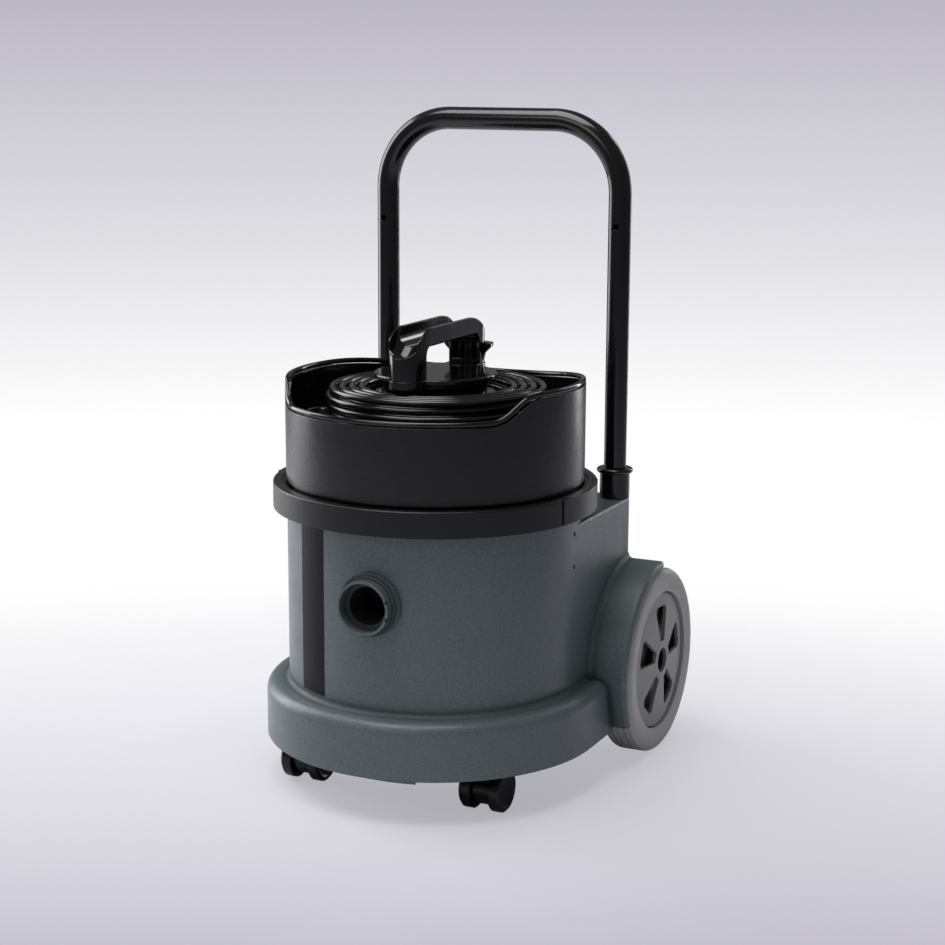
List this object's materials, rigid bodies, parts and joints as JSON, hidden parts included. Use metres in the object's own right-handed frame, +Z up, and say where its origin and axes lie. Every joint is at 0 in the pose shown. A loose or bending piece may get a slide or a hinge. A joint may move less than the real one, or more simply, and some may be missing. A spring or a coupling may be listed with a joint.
{
  "type": "tub vacuum cleaner",
  "caption": "Push-along tub vacuum cleaner with a round drum, a top bowl for the coiled mains cord, a carry handle, a tall push handle, large rear wheels and front casters.",
  "frame": {"origin": "on the floor under the middle of the cleaner's length and width", "axes": "+Z up, -Y to the front with the hose inlet and the casters, +Y to the rear wheels and the push handle, +X to the right when it is seen from the front"},
  "size_m": [0.415, 0.462, 0.7286],
  "materials": {
    "body_grey_blue": "fine speckled texture",
    "cowl_black": "satin",
    "ring_black": "satin, fine grain",
    "gloss_black": "gloss",
    "handle_black": "gloss powder coat",
    "socket_black": "semi-gloss",
    "tyre_grey": "soft matte",
    "rim_grey": "satin",
    "core_dark": "matte",
    "caster_grey": "satin",
    "label_black": "smooth film",
    "steel": "zinc plated",
    "seal_rubber": "matte",
    "deck_black": "matte",
    "filter_white": "woven",
    "cast_alloy": "cast",
    "copper_brown": "varnished winding",
    "foam_grey": "open cell foam",
    "cord_black": "satin",
    "plug_black": "satin",
    "pin_brass": "nickel plated",
    "rocker_red": "gloss",
    "bezel_black": "satin"
  },
  "bodies": {
    "base": {"tub": "body_grey_blue", "label_band": "label_black", "inlet_collar": "body_grey_blue", "inlet_seal": "seal_rubber", "inlet_nut": "deck_black", "push_handle": "handle_black", "handle_socket_left": "socket_black", "handle_socket_right": "socket_black", "handle_bolts": "steel", "axle": "steel", "axle_caps": "core_dark", "caster_sockets": "steel"},
    "head": {"clamp_ring": "ring_black", "latch_pins": "steel", "motor_deck": "deck_black", "head_seal": "seal_rubber", "filter_ring": "deck_black", "filter_cloth": "filter_white", "fan_case": "cast_alloy", "motor_body": "cast_alloy", "motor_mount": "seal_rubber", "exhaust_foam": "foam_grey", "cowl": "cowl_black", "cable_bowl": "gloss_black", "bowl_edge": "gloss_black", "bowl_screws": "steel", "cable_hub": "gloss_black", "hub_disc": "gloss_black", "hub_screws": "steel", "carry_handle": "gloss_black", "switch_bezel": "bezel_black", "cord_coil": "cord_black", "cord_tail": "cord_black", "cord_gland": "plug_black", "plug_body": "plug_black", "plug_relief": "plug_black", "plug_pins": "pin_brass"},
    "wheel_left": {"tyre_left": "tyre_grey", "rim_left": "rim_grey", "wheel_core_left": "core_dark"},
    "wheel_right": {"tyre_right": "tyre_grey", "rim_right": "rim_grey", "wheel_core_right": "core_dark"},
    "caster_left": {"caster_body_left": "caster_grey", "caster_pin_left": "steel"},
    "caster_right": {"caster_body_right": "caster_grey", "caster_pin_right": "steel"},
    "caster_wheel_left_outer": {"caster_wheel_left_a": "caster_grey"},
    "caster_wheel_left_inner": {"caster_wheel_left_b": "caster_grey"},
    "caster_wheel_right_outer": {"caster_wheel_right_a": "caster_grey"},
    "caster_wheel_right_inner": {"caster_wheel_right_b": "caster_grey"},
    "latch_left": {"latch_left": "ring_black"},
    "latch_right": {"latch_right": "ring_black"},
    "rotor": {"fan": "cast_alloy", "armature": "copper_brown"},
    "rocker": {"switch_rocker": "rocker_red"}
  },
  "joints": [
    {"name": "head_lift", "type": "slide", "parent": "base", "child": "head", "axis": [0, 0, 1], "range_m": [0, 0.16]},
    {"name": "wheel_left_roll", "type": "hinge", "parent": "base", "child": "wheel_left", "pos_m": [-0.1875, 0.125, 0.106], "axis": [1, 0, 0], "continuous": true},
    {"name": "wheel_right_roll", "type": "hinge", "parent": "base", "child": "wheel_right", "pos_m": [0.1875, 0.125, 0.106], "axis": [1, 0, 0], "continuous": true},
    {"name": "caster_left_swivel", "type": "hinge", "parent": "base", "child": "caster_left", "pos_m": [-0.1086, -0.1219, 0.06], "axis": [0, 0, 1], "continuous": true},
    {"name": "caster_right_swivel", "type": "hinge", "parent": "base", "child": "caster_right", "pos_m": [0.1086, -0.1219, 0.06], "axis": [0, 0, 1], "continuous": true},
    {"name": "caster_left_outer_roll", "type": "hinge", "parent": "caster_left", "child": "caster_wheel_left_outer", "pos_m": [-0.1086, -0.1389, 0.024], "axis": [1, 0, 0], "continuous": true},
    {"name": "caster_left_inner_roll", "type": "hinge", "parent": "caster_left", "child": "caster_wheel_left_inner", "pos_m": [-0.1086, -0.1389, 0.024], "axis": [1, 0, 0], "continuous": true},
    {"name": "caster_right_outer_roll", "type": "hinge", "parent": "caster_right", "child": "caster_wheel_right_outer", "pos_m": [0.1086, -0.1389, 0.024], "axis": [1, 0, 0], "continuous": true},
    {"name": "caster_right_inner_roll", "type": "hinge", "parent": "caster_right", "child": "caster_wheel_right_inner", "pos_m": [0.1086, -0.1389, 0.024], "axis": [1, 0, 0], "continuous": true},
    {"name": "latch_right_swing", "type": "hinge", "parent": "head", "child": "latch_right", "pos_m": [0.15407, 0.03792, 0.3188], "axis": [0, 0, 1], "range_deg": [0, 90]},
    {"name": "latch_left_swing", "type": "hinge", "parent": "head", "child": "latch_left", "pos_m": [-0.15407, 0.03792, 0.3188], "axis": [0, 0, -1], "range_deg": [0, 90]},
    {"name": "motor_spin", "type": "hinge", "parent": "head", "child": "rotor", "pos_m": [0, -0.044, 0.33], "axis": [0, 0, 1], "continuous": true},
    {"name": "switch_press", "type": "hinge", "parent": "head", "child": "rocker", "pos_m": [0, 0.1182, 0.362], "axis": [1, 0, 0], "range_deg": [0, 20]}
  ]
}
